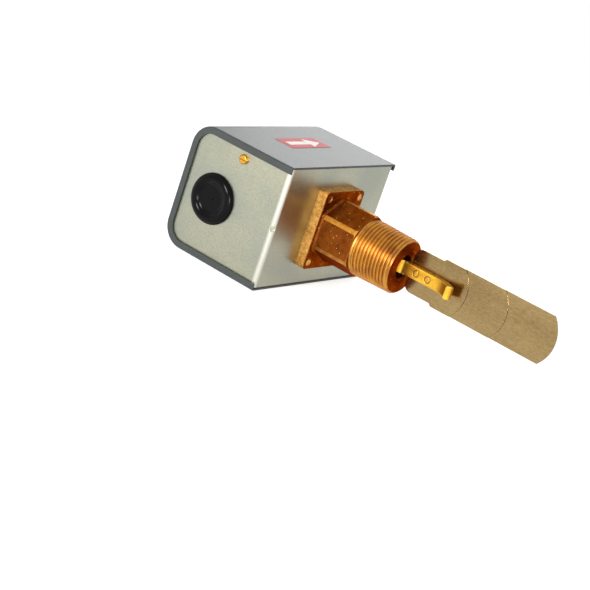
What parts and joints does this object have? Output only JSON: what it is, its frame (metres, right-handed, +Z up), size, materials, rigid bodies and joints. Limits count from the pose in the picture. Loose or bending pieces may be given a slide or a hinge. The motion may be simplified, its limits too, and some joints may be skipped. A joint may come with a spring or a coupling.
{
  "type": "paddle flow switch",
  "caption": "Flow switch: brass pipe-thread body with stepped paddles on a pivoting arm, under a sheet-steel box that holds a snap switch and range adjuster.",
  "frame": {"origin": "on the pipe thread's axis, at the lower face of the hexagon where the thread starts", "axes": "+Z up along the thread's axis, away from the pipe; +X the way the water flows; -Y the cover's front face with the arrow"},
  "size_m": [0.1063, 0.0726, 0.2224],
  "materials": {
    "forged_brass": "forged and lightly machined",
    "bright_brass": "machined and polished",
    "bellows_brass": "drawn, bright",
    "rubber": "matte",
    "zinc_steel": "galvanised, satin",
    "screw_steel": "zinc plated",
    "cover_paint": "semi-gloss grey paint",
    "label_print": "printed film, red with a white arrow",
    "black_plastic": "moulded, glossy",
    "paddle_metal": "rolled bronze sheet, satin",
    "pin_steel": "ground",
    "frame_steel": "zinc plated sheet",
    "spring_steel": "drawn wire",
    "ground_green": "green passivated steel",
    "switch_plastic": "moulded phenolic",
    "plunger_plastic": "moulded"
  },
  "bodies": {
    "base": {"pipe_body": "forged_brass", "bellows": "bellows_brass", "seal_ring": "rubber", "flange_screws": "bright_brass", "base_bracket": "zinc_steel", "cover_post": "screw_steel", "conduit_plug": "black_plastic", "earth_screw": "bright_brass", "earth_nut": "bright_brass", "pivot_pin": "pin_steel", "pivot_ring": "pin_steel", "mechanism_frame": "frame_steel", "range_bridge": "frame_steel", "bridge_screws": "screw_steel", "range_spring": "spring_steel", "ground_screw": "ground_green", "switch_case": "switch_plastic", "terminal_plates": "bright_brass", "terminal_screws": "screw_steel", "switch_screws": "screw_steel"},
    "paddle": {"paddle_arm": "bright_brass", "paddle_short": "paddle_metal", "paddle_medium": "paddle_metal", "paddle_long": "paddle_metal", "paddle_washers": "screw_steel", "paddle_screws": "bright_brass", "main_lever": "frame_steel", "lever_screws": "screw_steel"},
    "plunger": {"switch_plunger": "plunger_plastic"},
    "range_adjuster": {"range_screw": "screw_steel", "range_clip": "spring_steel"},
    "range_carriage": {"range_nut": "bright_brass"},
    "cover": {"cover": "cover_paint", "flow_label": "label_print", "cover_screw": "screw_steel"}
  },
  "joints": [
    {"name": "paddle_swing", "type": "hinge", "parent": "base", "child": "paddle", "pos_m": [0, 0, 0.036], "axis": [0, -1, 0], "range_deg": [0, 2.5], "stiffness_Nm_per_rad": 1.5, "springref_deg": -8.59},
    {"name": "plunger_push", "type": "slide", "parent": "base", "child": "plunger", "axis": [0, 0, 1], "range_m": [0, 0.0015]},
    {"name": "range_adjust", "type": "hinge", "parent": "base", "child": "range_adjuster", "pos_m": [0.01, 0, 0.0715], "axis": [0, 0, 1], "range_deg": [-1080, 1080]},
    {"name": "range_nut_travel", "type": "slide", "parent": "base", "child": "range_carriage", "axis": [0, 0, 1], "range_m": [-0.0024, 0.0024], "deforming": ["range_spring"]},
    {"name": "cover_lift", "type": "slide", "parent": "base", "child": "cover", "axis": [0, 0, 1], "range_m": [0, 0.072]}
  ],
  "couplings": [
    {"joint": "plunger_push", "follows": "paddle_swing", "m_per_rad": 0.032},
    {"joint": "range_adjust", "follows": "range_nut_travel", "rad_per_m": -7854}
  ]
}
